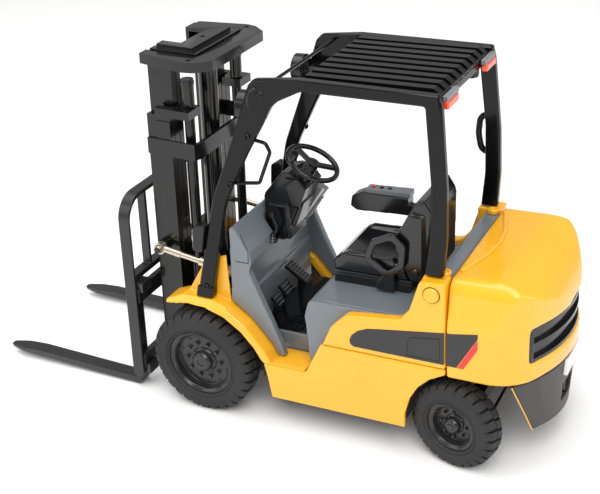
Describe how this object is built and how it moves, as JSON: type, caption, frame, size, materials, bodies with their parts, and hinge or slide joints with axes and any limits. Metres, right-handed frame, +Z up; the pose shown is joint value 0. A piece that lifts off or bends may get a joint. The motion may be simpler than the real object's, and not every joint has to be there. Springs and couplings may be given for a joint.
{
  "type": "toy forklift",
  "caption": "Die-cast style toy counterbalance forklift with a three-stage telescopic mast, tilting mast, sliding forks, steered rear wheels and an open cab under an overhead guard",
  "frame": {"origin": "on the floor under the middle of the bounding box", "axes": "+X forward along the forks, +Y to the driver's left, +Z up"},
  "size_m": [0.1485, 0.0486, 0.0882],
  "materials": {
    "body_yellow": "warm yellow enamel, satin",
    "cab_grey": "blue-grey moulded plastic",
    "guard_black": "gloss black enamel",
    "trim_black": "black moulded plastic",
    "console_grey": "grey moulded plastic",
    "seat_black": "black moulded plastic with a slight sheen",
    "bumper_brown": "dark brown-grey enamel, matt",
    "mast_black": "gloss black enamel",
    "fork_grey": "dark grey enamel, satin",
    "tyre_rubber": "soft black rubber, matt",
    "rim_black": "black enamel, satin",
    "tilt_metal": "bare turned metal, slightly warm",
    "lamp_clear": "silvered lamp face",
    "lamp_red": "orange-red moulded lens"
  },
  "bodies": {
    "truck": {"chassis": "bumper_brown", "skirt_left": "body_yellow", "skirt_right": "body_yellow", "hood_side_left": "body_yellow", "hood_side_right": "body_yellow", "counterweight": "body_yellow", "rear_grille": "trim_black", "rear_bumper": "bumper_brown", "tow_pin": "rim_black", "front_fender_left": "body_yellow", "front_fender_right": "body_yellow", "cowl": "cab_grey", "dash_column": "trim_black", "dash_console": "console_grey", "pedals": "trim_black", "floor_mat": "trim_black", "seat_deck": "cab_grey", "seat_base": "seat_black", "seat_cushion": "seat_black", "seat_backrest": "seat_black", "hip_restraint": "seat_black", "armrest_console": "seat_black", "armrest_top": "console_grey", "guard_side_left": "guard_black", "guard_side_right": "guard_black", "guard_grille": "guard_black", "grab_handle": "guard_black", "headlamps": "trim_black", "headlamp_lenses": "lamp_clear", "lamp_bar": "guard_black", "signal_lamps": "trim_black", "tail_lamps": "console_grey", "tail_lamp_lenses": "lamp_red", "front_axle": "rim_black", "steer_axle": "rim_black"},
    "front_wheel_left": {"drive_rim_left": "rim_black", "drive_tyre_left": "tyre_rubber"},
    "front_wheel_right": {"drive_rim_right": "rim_black", "drive_tyre_right": "tyre_rubber"},
    "steering_knuckle_left": {"knuckle_left": "rim_black"},
    "steering_knuckle_right": {"knuckle_right": "rim_black"},
    "rear_wheel_left": {"steer_rim_left": "rim_black", "steer_tyre_left": "tyre_rubber"},
    "rear_wheel_right": {"steer_rim_right": "rim_black", "steer_tyre_right": "tyre_rubber"},
    "steering_link": {"tie_rod": "rim_black"},
    "hand_wheel": {"steering_wheel": "trim_black"},
    "mast_stage_one": {"mast_outer": "mast_black", "lift_cylinders": "mast_black"},
    "mast_stage_two": {"mast_middle": "mast_black"},
    "mast_stage_three": {"mast_inner": "mast_black", "free_lift_cylinder": "mast_black"},
    "fork_carriage": {"carriage": "fork_grey", "load_backrest": "fork_grey"},
    "left_fork": {"fork_left": "fork_grey"},
    "right_fork": {"fork_right": "fork_grey"},
    "left_tilt_barrel": {"tilt_barrel_left": "tilt_metal"},
    "right_tilt_barrel": {"tilt_barrel_right": "tilt_metal"},
    "left_tilt_rod": {"tilt_rod_left": "tilt_metal"},
    "right_tilt_rod": {"tilt_rod_right": "tilt_metal"}
  },
  "joints": [
    {"name": "front_wheel_left_spin", "type": "hinge", "parent": "truck", "child": "front_wheel_left", "pos_m": [0.011, 0.0193, 0.0134], "axis": [0, 1, 0], "continuous": true},
    {"name": "front_wheel_right_spin", "type": "hinge", "parent": "truck", "child": "front_wheel_right", "pos_m": [0.011, -0.0193, 0.0134], "axis": [0, 1, 0], "continuous": true},
    {"name": "steer_left", "type": "hinge", "parent": "truck", "child": "steering_knuckle_left", "pos_m": [-0.0542, 0.0138, 0.0106], "axis": [0, 0, 1], "range_deg": [-17, 43]},
    {"name": "steer_right", "type": "hinge", "parent": "truck", "child": "steering_knuckle_right", "pos_m": [-0.0542, -0.0138, 0.0106], "axis": [0, 0, 1], "range_deg": [-17, 43]},
    {"name": "steering_link_turn", "type": "hinge", "parent": "steering_knuckle_left", "child": "steering_link", "pos_m": [-0.05908, 0.01491, 0.0104], "axis": [0, 0, 1], "range_deg": [-43, 17]},
    {"name": "rear_wheel_left_spin", "type": "hinge", "parent": "steering_knuckle_left", "child": "rear_wheel_left", "pos_m": [-0.05293, 0.01936, 0.0106], "axis": [0.2224, 0.975, 0], "continuous": true},
    {"name": "rear_wheel_right_spin", "type": "hinge", "parent": "steering_knuckle_right", "child": "rear_wheel_right", "pos_m": [-0.05547, -0.01936, 0.0106], "axis": [0.2224, 0.975, 0], "continuous": true},
    {"name": "steering_wheel_turn", "type": "hinge", "parent": "truck", "child": "hand_wheel", "pos_m": [-0.0123, 0.0024, 0.0608], "axis": [-0.4695, 0, 0.8829], "continuous": true},
    {"name": "mast_tilt", "type": "hinge", "parent": "truck", "child": "mast_stage_one", "pos_m": [0.011, 0, 0.0134], "axis": [0, 1, 0], "range_deg": [-3.7, 8.3]},
    {"name": "stage_two_lift", "type": "slide", "parent": "mast_stage_one", "child": "mast_stage_two", "axis": [-0.0401, 0, 0.9992], "range_m": [0, 0.05]},
    {"name": "stage_three_lift", "type": "slide", "parent": "mast_stage_two", "child": "mast_stage_three", "axis": [-0.0401, 0, 0.9992], "range_m": [0, 0.05]},
    {"name": "carriage_lift", "type": "slide", "parent": "mast_stage_three", "child": "fork_carriage", "axis": [-0.0401, 0, 0.9992], "range_m": [0, 0.05]},
    {"name": "fork_left_shift", "type": "slide", "parent": "fork_carriage", "child": "left_fork", "axis": [0, 1, 0], "range_m": [-0.011, 0]},
    {"name": "fork_right_shift", "type": "slide", "parent": "fork_carriage", "child": "right_fork", "axis": [0, 1, 0], "range_m": [0, 0.011]},
    {"name": "tilt_barrel_left_swing", "type": "hinge", "parent": "truck", "child": "left_tilt_barrel", "pos_m": [0.0042, 0.0162, 0.0367], "axis": [0, 1, 0], "range_deg": [-3.1, 6.8]},
    {"name": "tilt_rod_left_slide", "type": "slide", "parent": "left_tilt_barrel", "child": "left_tilt_rod", "axis": [0.987, 0, 0.161], "range_m": [-0.0016, 0.0036]},
    {"name": "tilt_barrel_right_swing", "type": "hinge", "parent": "truck", "child": "right_tilt_barrel", "pos_m": [0.0042, -0.0162, 0.0367], "axis": [0, 1, 0], "range_deg": [-3.1, 6.8]},
    {"name": "tilt_rod_right_slide", "type": "slide", "parent": "right_tilt_barrel", "child": "right_tilt_rod", "axis": [0.987, 0, 0.161], "range_m": [-0.0016, 0.0036]}
  ],
  "couplings": [
    {"joint": "steer_right", "follows": "steer_left", "ratio": 1},
    {"joint": "steering_link_turn", "follows": "steer_left", "ratio": -1},
    {"joint": "tilt_barrel_left_swing", "follows": "mast_tilt", "ratio": 0.81},
    {"joint": "tilt_barrel_right_swing", "follows": "mast_tilt", "ratio": 0.81},
    {"joint": "tilt_rod_left_slide", "follows": "mast_tilt", "m_per_rad": 0.0241},
    {"joint": "tilt_rod_right_slide", "follows": "mast_tilt", "m_per_rad": 0.0241}
  ]
}
